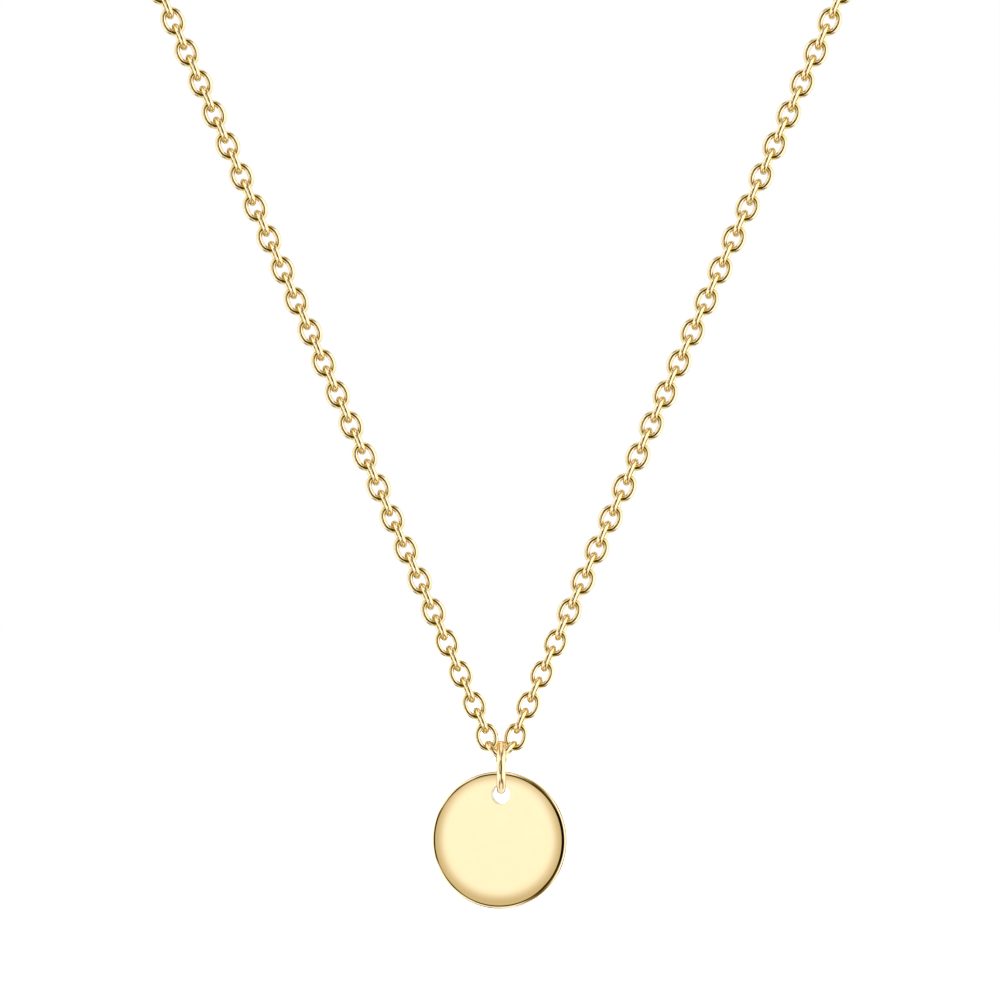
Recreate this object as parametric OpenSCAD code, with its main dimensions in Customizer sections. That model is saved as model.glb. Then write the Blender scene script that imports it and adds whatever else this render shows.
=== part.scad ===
/* [Disc] */
// Diameter of the disc
disc_d = 13; // [10:0.5:20]
// Thickness of the disc
disc_t = 0.95; // [0.7:0.05:1.1]
// Radius that rounds the disc's edge
disc_edge = 0.28; // [0.1:0.02:0.3]
// Turn of the disc's front to the viewer's left, in degrees
disc_turn = 12; // [0:1:15]
// Diameter of the disc's hole
hole_d = 1.8; // [1.8:0.05:2.1]
// Bevel round each mouth of the hole
hole_bevel = 0.15; // [0.05:0.01:0.2]
// Distance from the disc's centre to the hole's centre
hole_up = 4.34; // [4:0.02:5]

/* [Jump ring] */
// Outer diameter of the jump ring
ring_od = 5.34; // [5.34:0.02:5.5]
// Wire diameter of the jump ring
ring_wire = 0.85; // [0.7:0.05:0.9]
// Height of the ring's centre over the point where the strands would meet
ring_up = 0.105; // [0.1:0.005:0.12]

/* [Chain links] */
// Wire diameter of a link
link_wire = 0.49; // [0.4:0.01:0.49]
// Outer length of a link
link_l = 2.79; // [2.78:0.01:2.79]
// Outer width of a link
link_w = 2.23; // [2.2:0.01:2.23]
// Distance from one link's centre to the next
pitch = 1.6; // [1.6:0.01:1.65]
// Roll of every second link off square to its neighbours, in degrees
edge_roll = 10; // [0:1:15]
// Links of the left strand above its lowest one
left_links = 121; // [61:2:141]
// Links of the right strand above its lowest one
right_links = 120; // [60:2:140]

/* [Lowest links] */
// Sideways distance of each lowest link from the middle
low_x = 0.592; // [0.59:0.001:0.594]
// Distance of each lowest link before or behind the middle
low_y = 0.35; // [0.35:0.001:0.352]
// Height of each lowest link over the strands' meeting point
low_z = 1.45; // [1.44:0.002:1.45]
// Slant of each lowest link off the vertical, in degrees
low_slant = 53.7; // [53.5:0.1:54]
// Roll of each lowest link off square to the front, in degrees
low_roll = 14.7; // [14.5:0.1:15]
// Sideways distance of each second link from the middle
second_x = 1.65; // [1.65:0.001:1.652]
// Distance of each second link before or behind the middle
second_y = 0.255; // [0.25:0.001:0.256]
// Height of each second link over the strands' meeting point
second_z = 2.65; // [2.65:0.001:2.652]
// Slant of each second link off the vertical, in degrees
second_slant = 1.5; // [1.4:0.1:1.6]
// Sag of each third link below its straight strand
third_sag = 0.107; // [0.1:0.001:0.11]

/* [Hang of the loop] */
// Angle of each strand to the vertical, in degrees
half_angle = 23.785; // [20:0.005:26]
// Height over the strands' meeting point where the loop starts to lean back
bend_start = 76; // [74:1:80]
// Radius of the lean over the shoulders
bend_r = 25; // [15:1:40]
// Full lean of the loop round the neck, in degrees
bend_angle = 80; // [60:1:85]

/* [Clasp] */
// Radius of the clasp ring's centre line
clasp_r = 2.15; // [2.05:0.05:2.5]
// Diameter of the clasp ring's tube
clasp_tube = 1.2; // [1:0.05:1.2]
// Diameter of the bolt that closes the clasp ring
bolt_d = 0.8; // [0.6:0.05:0.9]
// Angle that the tube covers, in degrees
tube_angle = 290; // [240:5:320]
// Radius of the clasp eye's centre line
eye_r = 0.75; // [0.72:0.01:0.9]
// Wire diameter of the clasp's eye
eye_wire = 0.6; // [0.5:0.05:0.6]
// Depth that the eye is sunk into the tube
eye_sink = 0.15; // [0.1:0.01:0.2]
// Length of the thumb nub past the tube's centre line
nub_l = 1.3; // [0.9:0.05:1.6]
// Diameter of the thumb nub
nub_d = 0.55; // [0.4:0.05:0.7]
// Place of the thumb nub round the clasp ring, in degrees
nub_at = 60; // [40:5:80]
// Radius of the end ring's centre line
end_r = 1.45; // [1.4:0.05:1.7]
// Wire diameter of the end ring
end_wire = 0.6; // [0.5:0.05:0.65]

/* [Hidden] */
$fn = 64;
gap = 0.1;
rest_gap = 0.12;
slop = 1;
gold = [0.86, 0.70, 0.42];

// Centre-line sizes of a link and the ring, and how far up its strand the second link would be
bow_r = (link_w - link_wire) / 2;
link_flat = link_l - link_w;
half_link = bow_r + link_flat / 2;
ring_r = (ring_od - ring_wire) / 2;
first_at = 3.08;

// The hole's upper edge rests a gap over the wire at the ring's lowest point
hole_drop = hole_d / 2 - ring_wire / 2 - rest_gap;

// Steps between the centres of the pieces that close the loop
link_to_eye = half_link + eye_r - (link_wire + eye_wire) / 2 - gap;
eye_to_clasp = clasp_r + clasp_tube / 2 + eye_r - eye_sink;
clasp_to_end = clasp_r + end_r - (clasp_tube + end_wire) / 2 - gap;
end_to_link = half_link + end_r - (link_wire + end_wire) / 2 - gap;
left_last = first_at + (left_links - 1) * pitch;
right_last = first_at + (right_links - 1) * pitch;

// The loop is two straight strands that an arc of radius loop_r joins behind the neck
loop_l = left_last + right_last + link_to_eye + eye_to_clasp + clasp_to_end + end_to_link;
loop_r = loop_l / 2 / (1 / tan(half_angle) + PI / 2 + half_angle * PI / 180);
straight_l = loop_r / tan(half_angle);
arc_up = loop_r / sin(half_angle);
nape_h = arc_up + loop_r;
full_bend = bend_r * bend_angle * PI / 180;

// Distances are measured along the loop from the point where the strands would meet
function heading(s) = s < straight_l ? half_angle : half_angle - (s - straight_l) / loop_r * 180 / PI;
function aside(s) = s < straight_l ? s * sin(half_angle) : loop_r * cos(heading(s));
function height(s) = s < straight_l ? s * cos(half_angle) : arc_up - loop_r * sin(heading(s));
function lean(h) = h < bend_start ? 0 : min(bend_angle, (h - bend_start) / bend_r * 180 / PI);
function past(h) = max(0, h - bend_start - full_bend);
function back(h) = bend_r * (1 - cos(lean(h))) + past(h) * sin(bend_angle);
function up(h) = min(h, bend_start) + bend_r * sin(lean(h)) + past(h) * cos(bend_angle);
function along(s) = [sin(heading(s)), cos(heading(s)) * sin(lean(height(s))),
    cos(heading(s)) * cos(lean(height(s)))];
function outward(s) = [0, -cos(lean(height(s))), sin(lean(height(s)))];

// The origin is the middle of the loop at the nape
module from_nape() {
    translate([0, -back(nape_h), -up(nape_h)])
        children();
}

// A child's X follows the loop and its Z faces away from the neck
module on_loop(s) {
    t = along(s);
    n = outward(s);
    b = cross(n, t);
    multmatrix([[t.x, b.x, n.x, aside(s)], [t.y, b.y, n.y, back(height(s))],
            [t.z, b.z, n.z, up(height(s))], [0, 0, 0, 1]])
        children();
}

module wire_ring(radius, wire, angle = 360) {
    rotate_extrude(angle = angle)
        translate([radius, 0])
            circle(d = wire);
}

// One oval link, flat in XY with its length along X
module link() {
    for (end = [0, 180])
        rotate([0, 0, end])
            translate([link_flat / 2, 0, 0])
                rotate([0, 0, -90])
                    wire_ring(bow_r, link_wire, 180);
    for (side = [-1, 1])
        translate([0, side * bow_r, 0])
            rotate([0, 90, 0])
                cylinder(h = link_flat, d = link_wire, center = true);
}

// A link of the right strand at the bottom, where the two strands hook together
module low_link(place, slant, roll) {
    translate(place)
        rotate([0, slant - 90, 0])
            rotate([roll, 0, 0])
                link();
}

module lowest_links() {
    low_link([low_x, low_y, low_z], low_slant, -low_roll);
    low_link([second_x, second_y, second_z], second_slant, 90);
    translate([0, 0, -third_sag])
        on_loop(first_at + pitch)
            rotate([90 - edge_roll, 0, 0])
                link();
}

// Above them the links alternate between facing the front and standing on edge
module strand(links) {
    for (i = [3 : links])
        on_loop(first_at + (i - 1) * pitch)
            rotate([i % 2 == 1 ? 0 : 90 - edge_roll, 0, 0])
                link();
}

module chain_left() {
    color(gold)
        from_nape() {
            mirror([1, 0, 0])
                strand(left_links);
            rotate([0, 0, 180])
                lowest_links();
        }
}

module chain_right() {
    color(gold)
        from_nape() {
            strand(right_links);
            lowest_links();
        }
}

module jump_ring() {
    color(gold)
        from_nape()
            translate([0, 0, ring_up])
                rotate([0, 90, 0])
                    wire_ring(ring_r, ring_wire);
}

// The disc's outline on one side of its axis, with round corners
module disc_section() {
    translate([0, -disc_t / 2])
        square([disc_d / 2 - disc_edge, disc_t]);
    translate([0, disc_edge - disc_t / 2])
        square([disc_d / 2, disc_t - 2 * disc_edge]);
    for (side = [-1, 1])
        translate([disc_d / 2 - disc_edge, side * (disc_t / 2 - disc_edge)])
            circle(r = disc_edge);
}

// The disc's hole is bevelled at both mouths
module disc_hole() {
    cylinder(h = disc_t + 2 * slop, d = hole_d, center = true);
    for (side = [0, 180])
        rotate([side, 0, 0])
            translate([0, 0, disc_t / 2 - hole_bevel])
                cylinder(h = 2 * hole_bevel, d1 = hole_d, d2 = hole_d + 4 * hole_bevel);
}

module disc() {
    color(gold)
        from_nape()
            translate([0, 0, ring_up - ring_r - hole_drop - hole_up])
                rotate([90, 0, -disc_turn])
                    difference() {
                        rotate_extrude()
                            disc_section();
                        translate([0, hole_up, 0])
                            disc_hole();
                    }
}

// The clasp stands on edge across the loop, flat to the neck, with its eye towards the left strand
module clasp() {
    color(gold)
        from_nape()
            mirror([1, 0, 0])
                on_loop(left_last + link_to_eye + eye_to_clasp)
                    rotate([90, 0, 0]) {
                        rotate([0, 0, -tube_angle / 2])
                            wire_ring(clasp_r, clasp_tube, tube_angle);
                        wire_ring(clasp_r, bolt_d);
                        translate([-eye_to_clasp, 0, 0])
                            wire_ring(eye_r, eye_wire);
                        rotate([0, 0, nub_at])
                            translate([clasp_r, 0, 0])
                                rotate([0, 90, 0])
                                    cylinder(h = nub_l, d = nub_d);
                    }
}

module end_ring() {
    color(gold)
        from_nape()
            on_loop(right_last + end_to_link)
                wire_ring(end_r, end_wire);
}

disc();
jump_ring();
chain_left();
chain_right();
clasp();
end_ring();
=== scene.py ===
"""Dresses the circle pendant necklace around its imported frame.

The chain, the jump ring, the disc and the clasp are rebuilt as fine meshes in the places of
their solids, and each gets its own polished gold plate. Lengths are in metres.
"""

from __future__ import annotations

import logging
import math
from dataclasses import dataclass, field
from enum import Enum

import bmesh
import bpy
from mathutils import Matrix, Vector

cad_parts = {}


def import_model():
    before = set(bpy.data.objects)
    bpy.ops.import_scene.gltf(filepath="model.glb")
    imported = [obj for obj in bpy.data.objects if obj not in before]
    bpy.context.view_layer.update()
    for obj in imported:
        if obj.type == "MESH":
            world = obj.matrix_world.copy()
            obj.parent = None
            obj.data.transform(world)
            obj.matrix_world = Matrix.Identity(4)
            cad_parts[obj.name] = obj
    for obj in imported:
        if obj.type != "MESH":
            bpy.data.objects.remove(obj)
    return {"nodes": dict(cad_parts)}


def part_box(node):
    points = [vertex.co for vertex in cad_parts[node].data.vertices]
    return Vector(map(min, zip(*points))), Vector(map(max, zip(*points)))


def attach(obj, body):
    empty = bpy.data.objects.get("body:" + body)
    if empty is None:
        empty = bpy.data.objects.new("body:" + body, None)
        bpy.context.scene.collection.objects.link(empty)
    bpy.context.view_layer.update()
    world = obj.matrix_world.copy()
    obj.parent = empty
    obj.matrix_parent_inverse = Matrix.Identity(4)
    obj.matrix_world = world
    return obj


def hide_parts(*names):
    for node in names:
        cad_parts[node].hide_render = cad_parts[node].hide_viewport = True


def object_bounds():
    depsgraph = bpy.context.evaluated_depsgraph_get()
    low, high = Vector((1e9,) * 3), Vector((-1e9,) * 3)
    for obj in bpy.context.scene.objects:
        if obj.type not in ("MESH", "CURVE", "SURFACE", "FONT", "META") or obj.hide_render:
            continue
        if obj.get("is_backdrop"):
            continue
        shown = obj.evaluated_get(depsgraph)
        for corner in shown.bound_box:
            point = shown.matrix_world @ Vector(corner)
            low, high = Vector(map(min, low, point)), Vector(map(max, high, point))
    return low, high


LOG = logging.getLogger("necklace")
MM = 0.001
TAU = 2.0 * math.pi
UP = Vector((0.0, 0.0, 1.0))
MIRROR = Matrix.Diagonal((-1.0, 1.0, 1.0, 1.0))
SEAM_DEPTH = 0.012 * MM
SEAM_WIDTH = 0.03 * MM
Loop = list[Vector]
Tone = tuple[float, float, float]


class Strand(Enum):
    """The two halves of the chain, as a viewer in front names them."""

    LEFT = "chain_left"
    RIGHT = "chain_right"


class Stance(Enum):
    """How a link stands on the loop: flat in it, or on edge across it."""

    FACING = 0.0
    ON_EDGE = 90.0


@dataclass(frozen=True)
class Polish:
    """One gold-plated finish.

    Attributes:
        name: The material's name.
        slot: Name of a material slot; not used.
        tone: Colour of the clean plate.
        rubbed: Colour where the plate is handled most.
        dull_and_shade_tone: Duller colour mixed in where pieces touch, as wear and painted contact
            shade;
        on the disc, the colour of the painted dark reflection line along the bevel.
        roughness: Roughness of the clean polish.
        haze: Roughness that handling adds at most.
        scratch_scale: Scratches per metre of surface.
        scratch_depth: Depth of a scratch in metres.
        edge: Tint of the plate seen at a glancing angle.
        drilled: Roughness that a drilled wall adds.
        wall: Paler colour of a drilled wall, a painted highlight of the light from behind.
    """

    name: str
    slot: str
    tone: Tone
    rubbed: Tone
    dull_and_shade_tone: Tone
    roughness: float
    haze: float
    scratch_scale: float
    scratch_depth: float
    edge: Tone = (1.0, 0.86, 0.60)
    drilled: float = 0.35
    # The wall tone is paler than the plate: a painted highlight of light from behind.
    wall: Tone = (1.0, 0.85, 0.50)


# The disc's near-black duller tone paints the dark reflection line along its bevel.
DISC_POLISH = Polish(
    name="disc_plate", slot="disc_metal",
    tone=(1.0, 0.713, 0.305), rubbed=(1.0, 0.725, 0.318), dull_and_shade_tone=(0.18, 0.115, 0.035),
    roughness=0.045, haze=0.02, scratch_scale=2600.0, scratch_depth=0.15e-6,
)
# The ring's duller tone paints contact shade where the chain and the disc touch it.
RING_POLISH = Polish(
    name="ring_plate", slot="ring_metal",
    tone=(1.0, 0.715, 0.308), rubbed=(1.0, 0.73, 0.33), dull_and_shade_tone=(0.90, 0.63, 0.22),
    roughness=0.17, haze=0.03, scratch_scale=4200.0, scratch_depth=0.08e-6,
)
# The chain's duller tone paints contact shade where the links touch.
CHAIN_POLISH = Polish(
    name="chain_plate", slot="chain_metal",
    tone=(1.0, 0.72, 0.312), rubbed=(1.0, 0.735, 0.335), dull_and_shade_tone=(0.78, 0.56, 0.15),
    roughness=0.05, haze=0.04, scratch_scale=5200.0, scratch_depth=0.05e-6,
)
CLASP_POLISH = Polish(
    name="clasp_plate", slot="clasp_metal",
    tone=(1.0, 0.715, 0.308), rubbed=(1.0, 0.73, 0.33), dull_and_shade_tone=(0.91, 0.63, 0.25),
    roughness=0.07, haze=0.04, scratch_scale=4200.0, scratch_depth=0.08e-6,
)


class NodeDesk:
    """Adds nodes to one node tree and joins them up."""

    def __init__(self, tree: bpy.types.NodeTree) -> None:
        """Starts on a tree, which is emptied first."""
        self.tree = tree
        tree.nodes.clear()

    def add(self, kind: str, **settings: object) -> bpy.types.Node:
        """Makes one node.

        Args:
            kind: Its Blender type name.
            **settings: Properties to set on it.

        Returns:
            The node.
        """
        node = self.tree.nodes.new(kind)
        for key, value in settings.items():
            setattr(node, key, value)
        return node

    def join(self, source: bpy.types.NodeSocket, target: bpy.types.NodeSocket) -> None:
        """Links an output to the input that it feeds."""
        self.tree.links.new(source, target)

    def feed(self, socket: bpy.types.NodeSocket, value: object) -> None:
        """Sets an input to a value, or links it to an output.

        Args:
            socket: The input.
            value: A number, a colour or an output. None leaves the input as it is.
        """
        if value is None:
            return
        if isinstance(value, bpy.types.NodeSocket):
            self.join(value, socket)
        else:
            socket.default_value = value

    def math(self, operation: str, first: object, second: object = None,
             third: object = None) -> bpy.types.NodeSocket:
        """Makes a Math node.

        Args:
            operation: Its operation.
            first: A number or a socket.
            second: The same, where the operation has two inputs.
            third: The same, where it has three.

        Returns:
            The result's socket.
        """
        node = self.add("ShaderNodeMath", operation=operation)
        for socket, value in zip(node.inputs, (first, second, third)):
            self.feed(socket, value)
        return node.outputs[0]

    def blend(self, share: object, first: object, second: object) -> bpy.types.NodeSocket:
        """Mixes two colours.

        Args:
            share: How much of the second colour shows, from 0 to 1.
            first: A colour or a socket.
            second: The same.

        Returns:
            The result's socket.
        """
        node = self.add("ShaderNodeMix", data_type="RGBA")
        # A colour mix has its factor at input 0, its colours at 6 and 7, and its result at output 2
        for index, value in zip((0, 6, 7), (share, first, second)):
            self.feed(node.inputs[index], value)
        return node.outputs[2]

    def ramp(self, value: bpy.types.NodeSocket, low: float, high: float,
             start: float = 0.0, end: float = 1.0) -> bpy.types.NodeSocket:
        """Maps a value smoothly from one range to another.

        Args:
            value: The value's socket.
            low: Input at the range's start.
            high: Input at the range's end.
            start: Output at low.
            end: Output at high.

        Returns:
            The result's socket.
        """
        node = self.add("ShaderNodeMapRange", interpolation_type="SMOOTHSTEP")
        settings = (("From Min", low), ("From Max", high), ("To Min", start), ("To Max", end))
        for name, number in settings:
            node.inputs[name].default_value = number
        self.join(value, node.inputs["Value"])
        return node.outputs["Result"]

    def noise(self, place: bpy.types.NodeSocket, scale: float,
              detail: float) -> bpy.types.NodeSocket:
        """Makes a noise texture.

        Args:
            place: The coordinates that it reads.
            scale: Its features per unit of the coordinates.
            detail: Its octaves.

        Returns:
            Its value's socket.
        """
        node = self.add("ShaderNodeTexNoise")
        node.inputs["Scale"].default_value = scale
        node.inputs["Detail"].default_value = detail
        self.join(place, node.inputs["Vector"])
        return node.outputs["Fac"]


class GroupBook:
    """The shader node groups that every plated finish shares."""

    LINE_TURNS = ((0.3, 0.2, 0.5), (1.1, 0.9, -0.8))
    LINE_DETAIL = 3.0
    LINE_BAND = (0.60, 0.72)
    LINE_HAZE = 0.5
    MIST_SCALE = 420.0
    MIST_DETAIL = 2.0
    MIST_BAND = (0.35, 0.75)
    MIST_HAZE = 0.6
    WEAR_SCALE = 650.0
    WEAR_DETAIL = 4.0
    WEAR_BAND = (0.45, 0.70)
    WEAR_MOST = 0.7
    RAGGED_SPAN = 0.5
    RAGGED_LEAST = 0.75

    def __init__(self) -> None:
        """Builds the two groups once."""
        self.scratches = self._scratches()
        self.patina_and_shade = self._patina_and_shade()

    @staticmethod
    def _socket(group: bpy.types.NodeTree, name: str, way: str, kind: str,
                value: object = None) -> None:
        """Gives a group one named socket.

        Args:
            group: The group.
            name: The socket's name.
            way: INPUT or OUTPUT.
            kind: The socket's Blender type name.
            value: Its default, for an input.
        """
        made = group.interface.new_socket(name=name, in_out=way, socket_type=kind)
        if value is not None:
            made.default_value = value

    def _scratches(self) -> bpy.types.NodeTree:
        """Makes fine hairlines in two crossing directions, and the haze between them.

        Returns:
            The group, with outputs Height and Haze.
        """
        group = bpy.data.node_groups.new("fine_scratches", "ShaderNodeTree")
        self._socket(group, "Scale", "INPUT", "NodeSocketFloat", 3000.0)
        self._socket(group, "Stretch", "INPUT", "NodeSocketFloat", 14.0)
        self._socket(group, "Height", "OUTPUT", "NodeSocketFloat")
        self._socket(group, "Haze", "OUTPUT", "NodeSocketFloat")
        desk = NodeDesk(group)
        given = desk.add("NodeGroupInput")
        place = desk.add("ShaderNodeTexCoord").outputs["Object"]
        size = desk.add("ShaderNodeCombineXYZ")
        desk.join(given.outputs["Scale"], size.inputs["X"])
        desk.join(given.outputs["Scale"], size.inputs["Y"])
        long_way = desk.math("DIVIDE", given.outputs["Scale"], given.outputs["Stretch"])
        desk.join(long_way, size.inputs["Z"])
        lines = []
        for turn in self.LINE_TURNS:
            spin = desk.add("ShaderNodeVectorRotate", rotation_type="EULER_XYZ")
            spin.inputs["Rotation"].default_value = turn
            desk.join(place, spin.inputs["Vector"])
            scaled = desk.add("ShaderNodeVectorMath", operation="MULTIPLY")
            desk.join(spin.outputs["Vector"], scaled.inputs[0])
            desk.join(size.outputs["Vector"], scaled.inputs[1])
            streaks = desk.noise(scaled.outputs["Vector"], 1.0, self.LINE_DETAIL)
            lines.append(desk.ramp(streaks, *self.LINE_BAND))
        both = desk.math("MAXIMUM", *lines)
        mist = desk.ramp(desk.noise(place, self.MIST_SCALE, self.MIST_DETAIL), *self.MIST_BAND)
        veil = desk.math("MULTIPLY", mist, self.MIST_HAZE)
        out = desk.add("NodeGroupOutput")
        desk.join(desk.math("SUBTRACT", 1.0, both), out.inputs["Height"])
        desk.join(desk.math("MULTIPLY_ADD", both, self.LINE_HAZE, veil), out.inputs["Haze"])
        return group

    def _patina_and_shade(self) -> bpy.types.NodeTree:
        """Makes the plate's colour from its clean and rubbed tones and the duller tone, which
        stands for wear and paints contact shade and the disc's dark reflection line.

        Returns:
            The group, with outputs Color and Dullness.
        """
        group = bpy.data.node_groups.new("plate_patina_and_shade", "ShaderNodeTree")
        for name in ("Tone", "Rubbed", "Dull and Shade Tone"):
            self._socket(group, name, "INPUT", "NodeSocketColor", (1.0, 0.7, 0.3, 1.0))
        self._socket(group, "Wear Shade", "INPUT", "NodeSocketFloat", 0.0)
        self._socket(group, "Color", "OUTPUT", "NodeSocketColor")
        self._socket(group, "Dullness", "OUTPUT", "NodeSocketFloat")
        desk = NodeDesk(group)
        given = desk.add("NodeGroupInput")
        place = desk.add("ShaderNodeTexCoord").outputs["Object"]
        wear = desk.noise(place, self.WEAR_SCALE, self.WEAR_DETAIL)
        worn = desk.ramp(wear, *self.WEAR_BAND, 0.0, self.WEAR_MOST)
        lifted = desk.blend(worn, given.outputs["Tone"], given.outputs["Rubbed"])
        ragged = desk.math("MULTIPLY_ADD", wear, self.RAGGED_SPAN, self.RAGGED_LEAST)
        # The duller tone goes where the mesh asks for it: wear, painted contact shade, and the
        # painted dark reflection line on the disc's bevel.
        dull_shade_share = desk.math("MULTIPLY", given.outputs["Wear Shade"], ragged)
        dull_shade_share = desk.math("MINIMUM", dull_shade_share, 1.0)
        out = desk.add("NodeGroupOutput")
        desk.join(desk.blend(dull_shade_share, lifted, given.outputs["Dull and Shade Tone"]), out.inputs["Color"])
        desk.join(dull_shade_share, out.inputs["Dullness"])
        return group


class Plating:
    """Makes the plated materials and lays them on meshes."""

    BUMP_STRENGTH = 0.5

    def __init__(self, book: GroupBook) -> None:
        """Keeps the groups that each material places."""
        self.book = book
        self.made: dict[str, bpy.types.Material] = {}

    def material(self, polish: Polish) -> bpy.types.Material:
        """Makes a finish's material, once.

        Args:
            polish: The finish.

        Returns:
            Its material.
        """
        if polish.name in self.made:
            return self.made[polish.name]
        mat = bpy.data.materials.new(polish.name)
        mat.use_nodes = True
        desk = NodeDesk(mat.node_tree)
        # Two mesh attributes: one for wear, painted contact shade and the disc's painted dark line,
        # one for the drilled wall, rougher and painted paler as a highlight of light from behind.
        wear_shade = desk.add("ShaderNodeAttribute", attribute_name="wear_shade").outputs["Fac"]
        satin_and_backlight = desk.add("ShaderNodeAttribute", attribute_name="satin_and_backlight").outputs["Fac"]
        patina_and_shade = desk.add("ShaderNodeGroup", node_tree=self.book.patina_and_shade)
        tones = (("Tone", polish.tone), ("Rubbed", polish.rubbed), ("Dull and Shade Tone", polish.dull_and_shade_tone))
        for name, tone in tones:
            patina_and_shade.inputs[name].default_value = (*tone, 1.0)
        desk.join(wear_shade, patina_and_shade.inputs["Wear Shade"])
        lines = desk.add("ShaderNodeGroup", node_tree=self.book.scratches)
        lines.inputs["Scale"].default_value = polish.scratch_scale
        rough = desk.math("MULTIPLY_ADD", lines.outputs["Haze"], polish.haze, polish.roughness)
        rough = desk.math("MULTIPLY_ADD", patina_and_shade.outputs["Dullness"], polish.haze, rough)
        rough = desk.math("MULTIPLY_ADD", satin_and_backlight, polish.drilled, rough)
        bump = desk.add("ShaderNodeBump")
        bump.inputs["Strength"].default_value = self.BUMP_STRENGTH
        bump.inputs["Distance"].default_value = polish.scratch_depth
        desk.join(lines.outputs["Height"], bump.inputs["Height"])
        # The drilled wall's paler colour is a painted highlight of the light from behind.
        plate = desk.blend(satin_and_backlight, patina_and_shade.outputs["Color"], (*polish.wall, 1.0))
        metal = desk.add("ShaderNodeBsdfPrincipled")
        metal.inputs["Metallic"].default_value = 1.0
        metal.inputs["Specular Tint"].default_value = (*polish.edge, 1.0)
        desk.join(plate, metal.inputs["Base Color"])
        desk.join(rough, metal.inputs["Roughness"])
        desk.join(bump.outputs["Normal"], metal.inputs["Normal"])
        out = desk.add("ShaderNodeOutputMaterial")
        desk.join(metal.outputs["BSDF"], out.inputs["Surface"])
        self.made[polish.name] = mat
        return mat

    def lay(self, piece: bpy.types.Object, polish: Polish, body: str, *nodes: str) -> None:
        """Finishes a piece and hands it to its body.

        Args:
            piece: The piece.
            polish: Its finish.
            body: The body that it moves with.
            *nodes: The nodes that it stands for.
        """
        piece.data.materials.append(self.material(polish))
        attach(piece, body)
        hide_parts(*nodes)
        LOG.info("%s: %d faces, body %s", piece.name, len(piece.data.polygons), body)


class MeshMaker:
    """Collects loops of points into one smooth mesh."""

    def __init__(self) -> None:
        """Starts empty."""
        self.points: list[tuple[float, float, float]] = []
        self.faces: list[tuple[int, ...]] = []
        self.wear_shades: list[float] = []
        self.satins_and_backlight: list[float] = []

    def loops(self, loops: list[Loop], wear_shades: list[float], closed: bool, capped: bool = False,
              satins_and_backlight: list[float] | None = None) -> None:
        """Skins a row of loops that have the same number of points.

        Args:
            loops: The loops in order.
            wear_shades: How strongly each loop takes the duller tone, from 0 to 1, for wear,
                painted
            contact shade and the disc's painted dark reflection line.
            closed: Whether the last loop joins the first.
            capped: Whether the two end loops are closed by faces.
            satins_and_backlight: How rough the drill left each loop, and how strongly its wall is
                painted paler as a
            highlight of the light from behind, from 0 to 1.
        """
        base = len(self.points)
        size = len(loops[0])
        for loop, wear_shade, satin_and_backlight in zip(loops, wear_shades, satins_and_backlight or [0.0] * len(loops)):
            self.points.extend(tuple(p) for p in loop)
            self.wear_shades.extend([wear_shade] * size)
            self.satins_and_backlight.extend([satin_and_backlight] * size)
        count = len(loops)
        for i in range(count if closed else count - 1):
            here = base + i * size
            after = base + (i + 1) % count * size
            for j in range(size):
                k = (j + 1) % size
                self.faces.append((here + j, here + k, after + k, after + j))
        if capped:
            self.faces.append(tuple(base + j for j in reversed(range(size))))
            self.faces.append(tuple(base + (count - 1) * size + j for j in range(size)))

    def piece(self, name: str) -> bpy.types.Object:
        """Makes the object.

        Args:
            name: The object's name.

        Returns:
            The object, shaded smooth and facing outwards, with its seat and satin attributes, which
            carry the painted shade and the painted highlight.
        """
        mesh = bpy.data.meshes.new(name)
        mesh.from_pydata(self.points, [], self.faces)
        mesh.validate()
        for kind, values in (("wear_shade", self.wear_shades), ("satin_and_backlight", self.satins_and_backlight)):
            layer = mesh.attributes.new(kind, "FLOAT", "POINT")
            layer.data.foreach_set("value", values)
        mesh.shade_smooth()
        mesh.update()
        obj = bpy.data.objects.new(name, mesh)
        bpy.context.scene.collection.objects.link(obj)
        work = bmesh.new()
        work.from_mesh(mesh)
        bmesh.ops.recalc_face_normals(work, faces=work.faces)
        work.to_mesh(mesh)
        work.free()
        return obj


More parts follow.
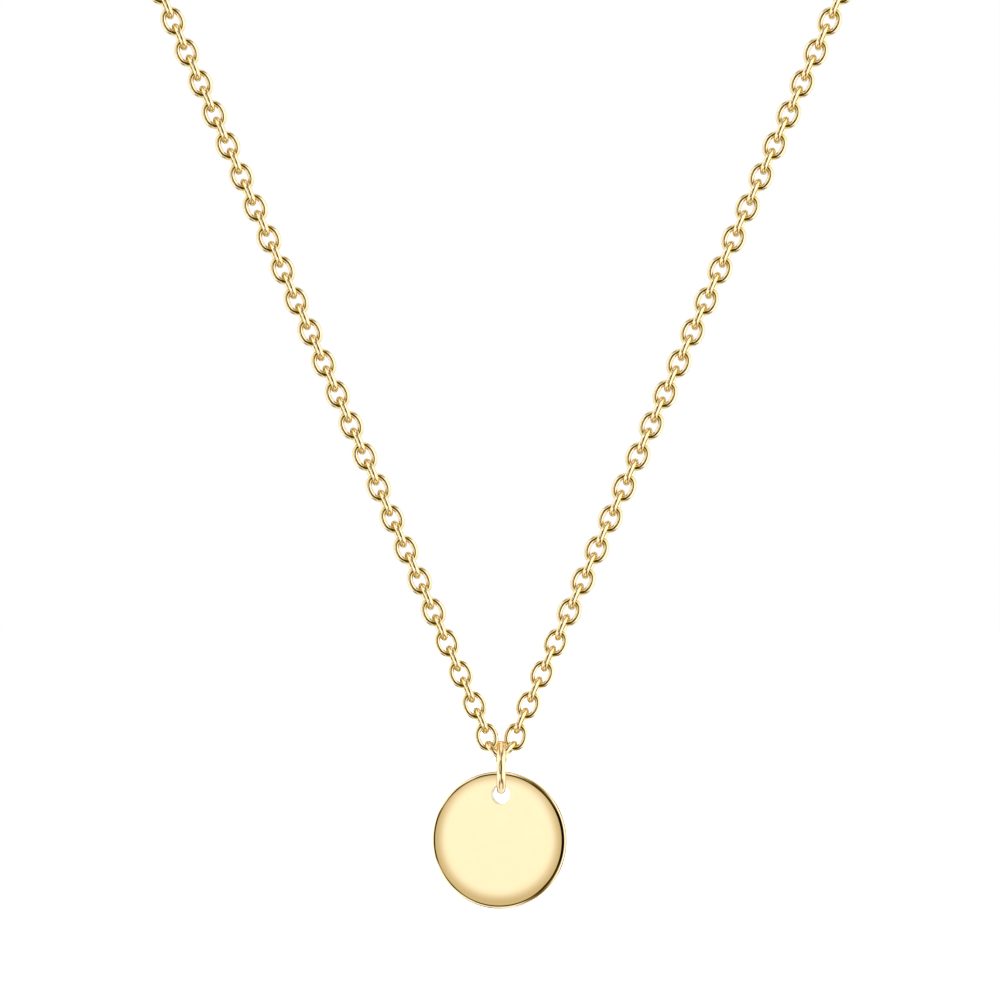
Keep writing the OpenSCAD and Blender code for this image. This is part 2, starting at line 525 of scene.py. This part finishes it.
@dataclass
class LoopPath:
    """The centre line of the loop: two straight strands that an arc joins behind the neck.

    Distances run up the right strand from the point where the strands would meet. From bend_start
    up the loop leans back round bend_r, by bend_angle at most. The arc has the radius loop_r, its
    centre is arc_up high, and nape is the loop's top.
    """

    half_angle: float = math.radians(23.785)
    bend_start: float = 76.0 * MM
    bend_r: float = 25.0 * MM
    bend_angle: float = math.radians(80.0)
    length: float = 397.71 * MM
    loop_r: float = field(init=False)
    straight: float = field(init=False)
    arc_up: float = field(init=False)
    nape: Vector = field(init=False)

    def __post_init__(self) -> None:
        """Works out the arc from the loop's length."""
        share = 1.0 / math.tan(self.half_angle) + math.pi / 2.0 + self.half_angle
        self.loop_r = self.length / 2.0 / share
        self.straight = self.loop_r / math.tan(self.half_angle)
        self.arc_up = self.loop_r / math.sin(self.half_angle)
        top = self.arc_up + self.loop_r
        self.nape = Vector((0.0, self._back(top), self._up(top)))

    def _heading(self, s: float) -> float:
        """Finds the loop's angle from straight up, at a distance along it."""
        return self.half_angle - max(0.0, s - self.straight) / self.loop_r

    def _flat(self, s: float) -> tuple[float, float]:
        """Finds a place on the loop before it leans back.

        Args:
            s: Distance along the loop.

        Returns:
            The sideways place and the height.
        """
        if s < self.straight:
            return s * math.sin(self.half_angle), s * math.cos(self.half_angle)
        turn = self._heading(s)
        return self.loop_r * math.cos(turn), self.arc_up - self.loop_r * math.sin(turn)

    def _lean(self, height: float) -> float:
        """Finds the angle that the loop leans back, at a height before the lean."""
        return min(self.bend_angle, max(0.0, height - self.bend_start) / self.bend_r)

    def _past(self, height: float) -> float:
        """Finds how far a height lies past the end of the lean, or 0."""
        return max(0.0, height - self.bend_start - self.bend_r * self.bend_angle)

    def _back(self, height: float) -> float:
        """Finds the depth behind the front of the loop, at a height before the lean."""
        swung = self.bend_r * (1.0 - math.cos(self._lean(height)))
        return swung + self._past(height) * math.sin(self.bend_angle)

    def _up(self, height: float) -> float:
        """Finds the height after the lean, at a height before it."""
        rise = min(height, self.bend_start) + self.bend_r * math.sin(self._lean(height))
        return rise + self._past(height) * math.cos(self.bend_angle)

    def place(self, s: float) -> Matrix:
        """Finds a place on the right half of the loop.

        Args:
            s: Distance along the loop.

        Returns:
            A matrix whose X follows the loop and whose Z faces away from the neck.
        """
        turn = self._heading(s)
        aside, height = self._flat(s)
        lean = self._lean(height)
        rise = math.cos(turn)
        x = Vector((math.sin(turn), rise * math.sin(lean), rise * math.cos(lean)))
        z = Vector((0.0, -math.cos(lean), math.sin(lean)))
        spot = Vector((aside, self._back(height), self._up(height))) - self.nape
        placed = Matrix((x, z.cross(x), z)).transposed().to_4x4()
        placed.translation = spot
        return placed

    def meeting(self) -> Vector:
        """Finds the point where the two strands' centre lines would meet."""
        return -self.nape


def round_loop(centre: Vector, radius: float, out: Vector, sides: int) -> Loop:
    """Works out a ring of points round a wire in XY, from the direction out towards Z."""
    angles = (TAU * j / sides for j in range(sides))
    return [centre + radius * (out * math.cos(b) + UP * math.sin(b)) for b in angles]


def moved(loops: list[Loop], matrix: Matrix) -> list[Loop]:
    """Puts loops of points in place by a matrix."""
    return [[matrix @ p for p in loop] for loop in loops]


def wire_ring(radius: float, wire: float, steps: int, sides: int, start: float = 0.0,
              sweep: float = TAU, seam_at: float | None = None) -> list[Loop]:
    """Works out a ring of round wire, flat in XY.

    Args:
        radius: Radius of its centre line.
        wire: Diameter of the wire.
        steps: Rings of points along it.
        sides: Points round the wire.
        start: Angle where it starts.
        sweep: Angle that it covers.
        seam_at: Angle of the soldered seam, if it has one.

    Returns:
        The rings of points.
    """
    gaps = steps if sweep >= TAU else steps - 1
    loops = []
    for i in range(steps):
        a = start + sweep * i / gaps
        r = wire / 2.0
        if seam_at is not None:
            off = math.remainder(a - seam_at, TAU) * radius
            r -= SEAM_DEPTH * math.exp(-((off / SEAM_WIDTH) ** 2))
        out = Vector((math.cos(a), math.sin(a), 0.0))
        loops.append(round_loop(out * radius, r, out, sides))
    return loops


@dataclass
class OvalLink:
    """One soldered oval link of round wire, flat in XY with its length along X.

    At a fullness of 2 the oval is an ellipse. Past the share seat_reach of its half length,
    where the next link touches it, the wire is rougher and painted darker as contact shade.
    """

    length: float = 2.74 * MM
    width: float = 2.24 * MM
    wire: float = 0.56 * MM
    fullness: float = 2.15
    steps: int = 44
    sides: int = 16
    seat_reach: float = 0.55

    def _centre(self, angle: float) -> Vector:
        """Finds a point of the wire's centre line.

        Args:
            angle: How far round the link it lies.

        Returns:
            The point.
        """
        half_l = (self.length - self.wire) / 2.0
        half_w = (self.width - self.wire) / 2.0
        bend = 2.0 / self.fullness
        c, s = math.cos(angle), math.sin(angle)
        x = half_l * math.copysign(abs(c) ** bend, c)
        y = half_w * math.copysign(abs(s) ** bend, s)
        return Vector((x, y, 0.0))

    def loops(self) -> tuple[list[Loop], list[float]]:
        """Works out the wire's rings.

        Returns:
            The rings of points, and how strongly each is painted with contact shade and made
            rougher.
        """
        centres = [self._centre(TAU * i / self.steps) for i in range(self.steps)]
        half_l = (self.length - self.wire) / 2.0
        rings, wear_shades = [], []
        for i, centre in enumerate(centres):
            way = (centres[(i + 1) % self.steps] - centres[i - 1]).normalized()
            rings.append(round_loop(centre, self.wire / 2.0, way.cross(UP), self.sides))
            nearness = abs(centre.x) / half_l
            wear_shades.append(max(0.0, (nearness - self.seat_reach) / (1.0 - self.seat_reach)))
        return rings, wear_shades


@dataclass
class Chain:
    """The two strands of alternating links and the lowest links that the ring passes through.

    The lowest and the second link stand off the path, with their centres given from the point
    where the strands would meet. Slants are off the vertical and rolls about a link's length, in
    degrees. Each strand's count is the place of its last link.
    """

    path: LoopPath
    link: OvalLink = field(default_factory=OvalLink)
    pitch: float = 1.6 * MM
    first_at: float = 3.08 * MM
    edge_roll: float = 10.0
    counts: dict[Strand, int] = field(default_factory=lambda: {Strand.LEFT: 121, Strand.RIGHT: 120})
    low_at: tuple[float, float, float] = (0.499 * MM, 0.318 * MM, 1.360 * MM)
    low_slant: float = 43.8
    low_roll: float = -8.8
    second_at: tuple[float, float, float] = (1.370 * MM, 0.219 * MM, 2.764 * MM)
    second_slant: float = 14.5

    def _stood(self, at: tuple[float, float, float], slant: float, roll: float) -> Matrix:
        """Stands a link near the bottom.

        Args:
            at: Its centre from the strands' meeting point.
            slant: Its angle off the vertical, in degrees.
            roll: Its roll about its length, in degrees.

        Returns:
            Its matrix on the right half.
        """
        lean = Matrix.Rotation(math.radians(slant - 90.0), 4, "Y")
        turn = Matrix.Rotation(math.radians(roll), 4, "X")
        return Matrix.Translation(self.path.meeting() + Vector(at)) @ lean @ turn

    def _on_strand(self, index: int) -> Matrix:
        """Places a link of the right strand.

        Args:
            index: Its place, counted up from the second link.

        Returns:
            Its matrix.
        """
        stance = Stance.FACING if index % 2 else Stance.ON_EDGE
        roll = stance.value - (self.edge_roll if stance is Stance.ON_EDGE else 0.0)
        there = self.path.place(self.first_at + (index - 1) * self.pitch)
        return there @ Matrix.Rotation(math.radians(roll), 4, "X")

    def matrices(self, strand: Strand) -> list[Matrix]:
        """Places every link of one strand.

        Args:
            strand: Which strand.

        Returns:
            One matrix per link.
        """
        lowest = [
            self._stood(self.low_at, self.low_slant, self.low_roll),
            self._stood(self.second_at, self.second_slant, Stance.ON_EDGE.value),
        ]
        above = [self._on_strand(i) for i in range(2, self.counts[strand] + 1)]
        if strand is Strand.LEFT:
            pivot = Matrix.Translation(self.path.meeting())
            half_turn = pivot @ Matrix.Rotation(math.pi, 4, "Z") @ pivot.inverted()
            lowest = [half_turn @ m for m in lowest]
            above = [MIRROR @ m for m in above]
        return lowest + above

    def build(self, plating: Plating) -> None:
        """Makes one joined mesh per strand.

        Args:
            plating: Lays the finish.
        """
        rings, wear_shades = self.link.loops()
        for strand in Strand:
            maker = MeshMaker()
            for matrix in self.matrices(strand):
                maker.loops(moved(rings, matrix), wear_shades, closed=True)
            piece = maker.piece(f"{strand.value}_links")
            plating.lay(piece, CHAIN_POLISH, "chain", strand.value)


@dataclass
class JumpRing:
    """The round-wire ring between the chain and the disc.

    It hangs lower than its solid by its sag. Its soldered seam is behind and low. At its two
    ends, where the chain and the disc touch it, it is painted darker as contact shade and made
    rougher, by seat_most over a height of seat_width.
    """

    outer: float = 5.03 * MM
    wire: float = 0.85 * MM
    sag: float = 0.205 * MM
    steps: int = 320
    sides: int = 48
    seam_at: float = math.radians(35.0)
    seat_most: float = 0.2
    seat_width: float = 0.275 * MM

    def build(self, plating: Plating) -> None:
        """Makes the ring where its solid is.

        Args:
            plating: Lays the finish.
        """
        low, high = (Vector(corner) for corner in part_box("jump_ring"))
        centre = (low + high) / 2.0 - self.sag * UP
        radius = (self.outer - self.wire) / 2.0
        stand = Matrix.Translation(centre) @ Matrix.Rotation(math.pi / 2.0, 4, "Y")
        ring = wire_ring(radius, self.wire, self.steps, self.sides, seam_at=self.seam_at)
        loops = moved(ring, stand)
        wear_shades = []
        for loop in loops:
            middle = sum(loop, Vector()) / len(loop)
            from_end = radius - abs(middle.z - centre.z)
            wear_shades.append(self.seat_most * math.exp(-((from_end / self.seat_width) ** 2)))
        maker = MeshMaker()
        maker.loops(loops, wear_shades, closed=True)
        piece = maker.piece("jump_ring_wire")
        piece.visible_glossy = False
        plating.lay(piece, RING_POLISH, "bail", "jump_ring")


@dataclass
class RoundDisc:
    """The plain polished disc, its softened edge and its drilled hole.

    Its hole hangs below the solid's by hole_sag and to the right by aside, and lip rounds its
    mouth. From the radius crown_from the face falls by crown_drop to the bevel, which runs from
    crown_to to bevel_to, and a round leads on to the side wall, which bulges by wall_dome. A dark
    line is painted on the bevel in place of a dark reflection; it lies line_half loops to each side
    of line_at. The hole's drilled wall is painted paler, as a highlight of the light from behind.
    The power face_ease draws the loops of the face towards the bevel.
    """

    diameter: float = 13.0 * MM
    thickness: float = 0.95 * MM
    turn: float = math.radians(-14.0)
    sway: float = math.radians(-2.7)
    solid_hole_up: float = 4.34 * MM
    hole_d: float = 1.78 * MM
    hole_up: float = 4.31 * MM
    hole_sag: float = 0.165 * MM
    aside: float = 0.04 * MM
    lip: float = 0.02 * MM
    crown_from: float = 4.80 * MM
    crown_to: float = 6.10 * MM
    crown_drop: float = 0.058 * MM
    bevel_to: float = 6.35 * MM
    bevel_slopes: tuple[float, float] = (math.radians(6.5), math.radians(18.0))
    line_at: float = 2.5
    line_half: float = 2.2
    wall_dome: float = 0.02 * MM
    rays: int = 480
    face_steps: int = 24
    face_ease: float = 0.8
    bevel_steps: int = 8
    round_steps: int = 12
    wall_steps: int = 8
    lip_steps: int = 3

    def _ways(self) -> Loop:
        """Works out the directions that the mesh follows from the hole's centre."""
        angles = (TAU * i / self.rays for i in range(self.rays))
        return [Vector((math.cos(a), math.sin(a), 0.0)) for a in angles]

    def _round_hole(self, radius: float) -> Loop:
        """Works out a circle about the hole's centre, with one point per ray."""
        hole = Vector((0.0, self.hole_up, 0.0))
        return [hole + radius * way for way in self._ways()]

    def _round_disc(self, radius: float) -> Loop:
        """Works out where the rays meet a circle about the disc's centre.

        Args:
            radius: The circle's radius.

        Returns:
            The points, one per ray.
        """
        hole = Vector((0.0, self.hole_up, 0.0))
        points = []
        for way in self._ways():
            along = -hole.dot(way)
            span = math.sqrt(radius ** 2 - self.hole_up ** 2 + along ** 2)
            points.append(hole + way * (along + span))
        return points

    def _sunk(self, radius: float) -> float:
        """Finds the depth of the face below its flat middle, at a radius."""
        reach = max(0.0, radius - self.crown_from) / (self.crown_to - self.crown_from)
        return self.crown_drop * reach ** 2

    def _rim(self) -> list[tuple[float, float]]:
        """Works out the rim from the crown's end to the side wall.

        Returns:
            Pairs of radius and depth below the flat middle.
        """
        start, end = self.bevel_slopes
        radius, deep = self.crown_to, self.crown_drop
        step = (self.bevel_to - self.crown_to) / self.bevel_steps
        rim = []
        for k in range(self.bevel_steps):
            slope = start + (end - start) * (k + 0.5) / self.bevel_steps
            radius += step
            deep += step * math.tan(slope)
            rim.append((radius, deep))
        corner = (self.diameter / 2.0 - self.wall_dome - radius) / (1.0 - math.sin(end))
        for k in range(1, self.round_steps + 1):
            a = end + (math.pi / 2.0 - end) * k / self.round_steps
            out = radius + corner * (math.sin(a) - math.sin(end))
            rim.append((out, deep + corner * (math.cos(end) - math.cos(a))))
        return rim

    def _side(self) -> list[list[tuple[Vector, float]]]:
        """Works out the loops of one face from the hole's wall to the disc's side.

        Returns:
            Loops of points in the disc's plane, each with its depth below the flat middle.
        """
        loops = []
        for k in range(self.lip_steps + 1):
            a = math.pi / 2.0 * k / self.lip_steps
            deep = self.lip * (1.0 - math.sin(a))
            points = self._round_hole(self.hole_d / 2.0 + self.lip * (1.0 - math.cos(a)))
            loops.append([(p, deep + self._sunk(p.length)) for p in points])
        inner = self._round_hole(self.hole_d / 2.0 + 2.0 * self.lip)
        outer = self._round_disc(self.crown_to)
        for k in range(self.face_steps + 1):
            share = (k / self.face_steps) ** self.face_ease
            row = [p.lerp(q, share) for p, q in zip(inner, outer)]
            loops.append([(p, self._sunk(p.length)) for p in row])
        for radius, deep in self._rim():
            loops.append([(p, deep) for p in self._round_disc(radius)])
        return loops

    def _painted_edge_line(self, count: int) -> list[float]:
        """Finds how strongly each loop of a face carries the painted dark reflection line on the
        bevel.

        Args:
            count: Loops in the face.

        Returns:
            One value per loop, from 0 to 1.
        """
        first = count - self.round_steps - self.bevel_steps
        values = [0.0] * count
        for k in range(self.bevel_steps):
            values[first + k] = min(1.0, max(0.0, self.line_half - abs(k - self.line_at)))
        return values

    def _dome(self, edge_deep: float) -> list[Loop]:
        """Works out the side wall, which bulges a little.

        Args:
            edge_deep: Depth of the wall's two edges below the flat middle.

        Returns:
            The wall's inner loops, from front to rear.
        """
        dome = []
        for k in range(1, self.wall_steps):
            across = 2.0 * k / self.wall_steps - 1.0
            points = self._round_disc(self.diameter / 2.0 - self.wall_dome * across ** 2)
            z = -across * (self.thickness / 2.0 - edge_deep)
            dome.append([Vector((p.x, p.y, z)) for p in points])
        return dome

    def build(self, plating: Plating) -> None:
        """Makes the disc where its solid is.

        Args:
            plating: Lays the finish.
        """
        low, high = (Vector(corner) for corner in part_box("disc"))
        hole = (low + high) / 2.0 + Vector((self.aside, 0.0, self.solid_hole_up - self.hole_sag))
        stand = (
            Matrix.Translation(hole) @ Matrix.Rotation(self.turn, 4, "Z")
            @ Matrix.Rotation(math.pi / 2.0, 4, "X") @ Matrix.Rotation(self.sway, 4, "Z")
            @ Matrix.Translation((0.0, -self.hole_up, 0.0))
        )
        half = self.thickness / 2.0
        face = self._side()
        front = [[Vector((p.x, p.y, half - deep)) for p, deep in loop] for loop in face]
        rear = [[Vector((p.x, p.y, deep - half)) for p, deep in loop] for loop in reversed(face)]
        dome = self._dome(face[-1][0][1])
        loops = moved(front + dome + rear, stand)
        # The bevel's loops get the painted dark reflection line, the drilled wall's loops the
        # painted highlight.
        line = self._painted_edge_line(len(face))
        wear_shades = line + [0.0] * len(dome) + line[::-1]
        drilled = {0, 1, len(loops) - 2, len(loops) - 1}
        satins_and_backlight = [1.0 if i in drilled else 0.0 for i in range(len(loops))]
        maker = MeshMaker()
        maker.loops(loops, wear_shades, closed=True, satins_and_backlight=satins_and_backlight)
        piece = maker.piece("disc_plate")
        piece.visible_glossy = False
        plating.lay(piece, DISC_POLISH, "pendant", "disc")


@dataclass
class RingClasp:
    """The plain ring clasp at the nape and the end ring that it holds.

    The clasp lies clasp_at along the left half of the loop and the end ring end_at along the right
    half. Radii are those of centre lines. Over taper_steps the tube's ends narrow to taper_fit
    bolt diameters. The nub's profile gives shares of its length and its diameter there, and worn
    is the dullness of both pieces.
    """

    path: LoopPath
    clasp_at: float = 200.0 * MM
    end_at: float = 195.4 * MM
    radius: float = 2.15 * MM
    tube: float = 1.2 * MM
    bolt: float = 0.8 * MM
    tube_angle: float = math.radians(290.0)
    eye_r: float = 0.75 * MM
    eye_wire: float = 0.6 * MM
    eye_out: float = 3.35 * MM
    nub_l: float = 1.3 * MM
    nub_d: float = 0.55 * MM
    nub_at: float = math.radians(60.0)
    nub_profile: tuple[tuple[float, float], ...] = (
        (0.0, 1.0), (0.80, 1.0), (0.92, 0.92), (0.98, 0.72), (1.0, 0.40),
    )
    end_r: float = 1.45 * MM
    end_wire: float = 0.6 * MM
    end_seam_at: float = math.radians(100.0)
    taper_steps: int = 4
    taper_fit: float = 1.02
    worn: float = 0.25

    def _tube(self) -> list[Loop]:
        """Works out the tube with its two ends drawn in to the bolt.

        Returns:
            The tube's rings of points.
        """
        loops = wire_ring(
            self.radius, self.tube, steps=120, sides=28, start=-self.tube_angle / 2.0,
            sweep=self.tube_angle,
        )
        mouth = self.bolt / self.tube * self.taper_fit
        for k in range(self.taper_steps):
            size = mouth + (1.0 - mouth) * math.sin(math.pi / 2.0 * k / self.taper_steps)
            for index in (k, -1 - k):
                middle = sum(loops[index], Vector()) / len(loops[index])
                loops[index] = [middle + (p - middle) * size for p in loops[index]]
        return loops

    def _nub(self) -> list[Loop]:
        """Works out the thumb nub with its rounded end.

        Returns:
            The nub's rings of points.
        """
        out = Vector((math.cos(self.nub_at), math.sin(self.nub_at), 0.0))
        loops = []
        for far, size in self.nub_profile:
            base = out * (self.radius + self.nub_l * far)
            loops.append(round_loop(base, self.nub_d / 2.0 * size, out.cross(UP), sides=24))
        return loops

    def _clasp(self) -> bpy.types.Object:
        """Makes the clasp's mesh.

        Returns:
            The piece.
        """
        stand = MIRROR @ self.path.place(self.clasp_at) @ Matrix.Rotation(math.pi / 2.0, 4, "X")
        eye_shift = Matrix.Translation((-self.eye_out, 0.0, 0.0))
        eye = wire_ring(self.eye_r, self.eye_wire, steps=64, sides=20)
        parts = (
            (self._tube(), False),
            (wire_ring(self.radius, self.bolt, steps=96, sides=24), True),
            (moved(eye, eye_shift), True),
            (self._nub(), False),
        )
        maker = MeshMaker()
        for loops, closed in parts:
            maker.loops(moved(loops, stand), [self.worn] * len(loops), closed, capped=not closed)
        return maker.piece("clasp_ring")

    def _end_ring(self) -> bpy.types.Object:
        """Makes the end ring's mesh.

        Returns:
            The piece.
        """
        there = self.path.place(self.end_at)
        ring = wire_ring(self.end_r, self.end_wire, steps=120, sides=28, seam_at=self.end_seam_at)
        maker = MeshMaker()
        maker.loops(moved(ring, there), [self.worn] * len(ring), closed=True)
        return maker.piece("end_ring_wire")

    def build(self, plating: Plating) -> None:
        """Makes the clasp and the end ring, each with its finish."""
        plating.lay(self._clasp(), CLASP_POLISH, "chain", "clasp")
        plating.lay(self._end_ring(), CLASP_POLISH, "chain", "end_ring")


class Glow(Enum):
    """Colour of a panel of the light tent."""

    PLAIN = (1.0, 1.0, 1.0)
    COOL = (0.89, 1.035, 1.50)
    MELLOW = (1.0, 0.92, 0.74)
    WARM = (1.0, 0.76, 0.24)

    def at(self, level: float) -> tuple[float, ...]:
        """Gives the colour at a level of light, where 1 is paper white."""
        return (*(level * share for share in self.value), 1.0)


@dataclass(frozen=True)
class SoftPanel:
    """One panel or flag of the light tent, by its direction from the object, in degrees.

    Azimuth 0 is towards the camera and grows to the viewer's right.

    Attributes:
        azimuth: Azimuth of its middle.
        elevation: Elevation of its middle.
        half_width: Half its spread in azimuth.
        half_height: Half its spread in elevation.
        softness: Half the width of its soft border.
        level: Its level of light.
        glow: Its colour.
    """

    azimuth: float
    elevation: float
    half_width: float
    half_height: float
    softness: float
    level: float
    glow: Glow = Glow.PLAIN


@dataclass
class Studio:
    """The pale floor, the light tent and the camera.

    Attributes:
        distance: Distance of the camera from the front of the loop.
        picture_width: Width that the picture covers at the front of the loop.
        sensor: Width of the camera's sensor in millimetres.
        clip: Nearest and farthest distance that the camera sees.
        picture_px: Width of the picture in pixels.
        middle_px: Place of the strands' meeting point in the picture.
        tent_level: Level of the tent between its panels.
        floor_drop: How far the floor lies below the object.
        floor_radius: Radius of the floor.
        floor_tone: Brightness of the floor's paint.
        floor_rough: Roughness of the floor's paint.
        floor_glow: Light that the floor gives off, which keeps it pale.
        panels: The tent's panels, each over those before it.
    """

    distance: float = 0.9
    picture_width: float = 94.2 * MM
    sensor: float = 36.0
    clip: tuple[float, float] = (0.01, 20.0)
    picture_px: float = 1000.0
    middle_px: tuple[float, float] = (501.2, 766.2)
    tent_level: float = 0.42
    floor_drop: float = 30.0 * MM
    floor_radius: float = 4.0
    floor_tone: float = 0.93
    floor_rough: float = 0.9
    floor_glow: float = 0.9
    panels: tuple[SoftPanel, ...] = (
        *(SoftPanel(0.0, up, 180.0, 14.0, 4.0, 1.25, Glow.COOL) for up in (84.0, -84.0)),
        *(SoftPanel(180.0, up, 44.0, 26.0, 4.0, 1.1, Glow.COOL) for up in (50.0, -50.0)),
        *(SoftPanel(-180.0, up, 44.0, 26.0, 4.0, 1.1, Glow.COOL) for up in (50.0, -50.0)),
        SoftPanel(92.0, 0.0, 70.0, 44.0, 6.0, 1.4, Glow.COOL),
        SoftPanel(-90.0, 0.0, 56.0, 44.0, 6.0, 1.35, Glow.COOL),
        SoftPanel(0.0, -57.0, 80.0, 7.0, 3.0, 0.16, Glow.WARM),
        SoftPanel(0.0, 63.0, 70.0, 6.0, 3.0, 0.24, Glow.WARM),
        *(SoftPanel(-28.0, up, 12.0, 26.0, 3.0, 1.15, Glow.COOL) for up in (46.0, -46.0)),
        SoftPanel(-31.0, 0.0, 17.0, 18.5, 3.0, 0.66),
        SoftPanel(-28.0, 0.0, 6.0, 6.0, 4.5, 1.26, Glow.COOL),
        SoftPanel(-56.0, 0.0, 6.5, 11.0, 2.0, 0.06, Glow.WARM),
        *(SoftPanel(-28.0, up, 13.0, 4.5, 2.0, 0.12, Glow.WARM) for up in (23.0, -23.0)),
        *(SoftPanel(-45.0, up, 6.0, 4.0, 2.0, 0.15, Glow.WARM) for up in (16.5, -16.5)),
        *(SoftPanel(-13.0, up, 5.0, 6.0, 2.0, 0.05, Glow.WARM) for up in (17.0, -17.0)),
        SoftPanel(3.0, 0.0, 15.0, 62.0, 2.5, 0.14, Glow.WARM),
        SoftPanel(4.0, 0.0, 17.5, 13.0, 2.5, 0.015, Glow.WARM),
        SoftPanel(180.0, 0.0, 44.0, 20.0, 4.0, 0.20, Glow.MELLOW),
        SoftPanel(-180.0, 0.0, 34.0, 20.0, 4.0, 0.25, Glow.MELLOW),
        SoftPanel(152.0, 0.0, 10.0, 12.0, 4.5, 1.15, Glow.COOL),
    )

    @staticmethod
    def _mask(desk: NodeDesk, angles: tuple[bpy.types.NodeSocket, bpy.types.NodeSocket],
              panel: SoftPanel) -> bpy.types.NodeSocket:
        """Works out where a panel covers the tent.

        Args:
            desk: The world's nodes.
            angles: The azimuth and elevation of a direction, in radians.
            panel: The panel.

        Returns:
            The panel's cover from 0 to 1.
        """
        sides = (
            (angles[0], panel.azimuth, panel.half_width),
            (angles[1], panel.elevation, panel.half_height),
        )
        covers = []
        for angle, middle, half in sides:
            off = desk.math("ABSOLUTE", desk.math("SUBTRACT", angle, math.radians(middle)))
            near = math.radians(half - panel.softness)
            far = math.radians(half + panel.softness)
            covers.append(desk.ramp(off, near, far, 1.0, 0.0))
        return desk.math("MULTIPLY", *covers)

    def _tent(self) -> None:
        """Makes the light tent around the object, which the camera sees as plain white."""
        world = bpy.data.worlds.new("light_tent")
        world.use_nodes = True
        bpy.context.scene.world = world
        desk = NodeDesk(world.node_tree)
        way = desk.add("ShaderNodeSeparateXYZ")
        desk.join(desk.add("ShaderNodeTexCoord").outputs["Generated"], way.inputs["Vector"])
        ahead = desk.math("MULTIPLY", way.outputs["Y"], -1.0)
        azimuth = desk.math("ARCTAN2", way.outputs["X"], ahead)
        elevation = desk.math("ARCSINE", way.outputs["Z"])
        glow: object = Glow.MELLOW.at(self.tent_level)
        for panel in self.panels:
            cover = self._mask(desk, (azimuth, elevation), panel)
            glow = desk.blend(cover, glow, panel.glow.at(panel.level))
        lit = desk.add("ShaderNodeBackground")
        desk.feed(lit.inputs["Color"], glow)
        seen = desk.add("ShaderNodeBackground")
        seen.inputs["Color"].default_value = Glow.PLAIN.at(1.0)
        either = desk.add("ShaderNodeMixShader")
        is_seen = desk.add("ShaderNodeLightPath").outputs["Is Camera Ray"]
        desk.join(is_seen, either.inputs["Fac"])
        desk.join(lit.outputs["Background"], either.inputs[1])
        desk.join(seen.outputs["Background"], either.inputs[2])
        out = desk.add("ShaderNodeOutputWorld")
        desk.join(either.outputs["Shader"], out.inputs["Surface"])

    def _floor(self, below: float) -> None:
        """Lays the pale floor.

        Args:
            below: Height of the object's lowest point.
        """
        work = bmesh.new()
        bmesh.ops.create_circle(work, cap_ends=True, segments=96, radius=self.floor_radius)
        mesh = bpy.data.meshes.new("pale_floor")
        work.to_mesh(mesh)
        work.free()
        floor = bpy.data.objects.new("pale_floor", mesh)
        floor.location = (0.0, 0.0, below - self.floor_drop)
        bpy.context.scene.collection.objects.link(floor)
        mat = bpy.data.materials.new("pale_floor")
        mat.use_nodes = True
        paint = mat.node_tree.nodes["Principled BSDF"]
        paint.inputs["Base Color"].default_value = Glow.PLAIN.at(self.floor_tone)
        paint.inputs["Roughness"].default_value = self.floor_rough
        paint.inputs["Emission Color"].default_value = Glow.PLAIN.at(1.0)
        paint.inputs["Emission Strength"].default_value = self.floor_glow
        floor.data.materials.append(mat)
        floor.visible_glossy = False
        floor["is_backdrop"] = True

    def _camera(self, meeting: Vector) -> None:
        """Sets the camera level, in front of the strands' meeting point.

        Args:
            meeting: The point where the strands would meet.
        """
        data = bpy.data.cameras.new("camera")
        data.sensor_width = self.sensor
        data.lens = self.sensor * self.distance / self.picture_width
        data.clip_start, data.clip_end = self.clip
        camera = bpy.data.objects.new("camera", data)
        bpy.context.scene.collection.objects.link(camera)
        scale = self.picture_width / self.picture_px
        middle = self.picture_px / 2.0
        camera.location = (
            meeting.x + (middle - self.middle_px[0]) * scale,
            meeting.y - self.distance,
            meeting.z + (self.middle_px[1] - middle) * scale,
        )
        camera.rotation_euler = (math.pi / 2.0, 0.0, 0.0)
        bpy.context.scene.camera = camera

    def build(self, meeting: Vector, below: float) -> None:
        """Builds the whole studio.

        Args:
            meeting: The point where the strands would meet.
            below: Height of the object's lowest point.
        """
        self._tent()
        self._floor(below)
        self._camera(meeting)
        bpy.context.scene.view_settings.view_transform = "Standard"
        LOG.info("studio: %d panels", len(self.panels))


def main() -> None:
    """Dresses the frame."""
    logging.basicConfig(level=logging.INFO, format="%(message)s")
    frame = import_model()
    cad_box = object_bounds()
    LOG.info("frame: %d nodes", len(frame["nodes"]))
    path = LoopPath()
    plating = Plating(GroupBook())
    Chain(path).build(plating)
    JumpRing().build(plating)
    RoundDisc().build(plating)
    RingClasp(path).build(plating)
    Studio().build(path.meeting(), cad_box[0].z)


if __name__ == "__main__":
    main()
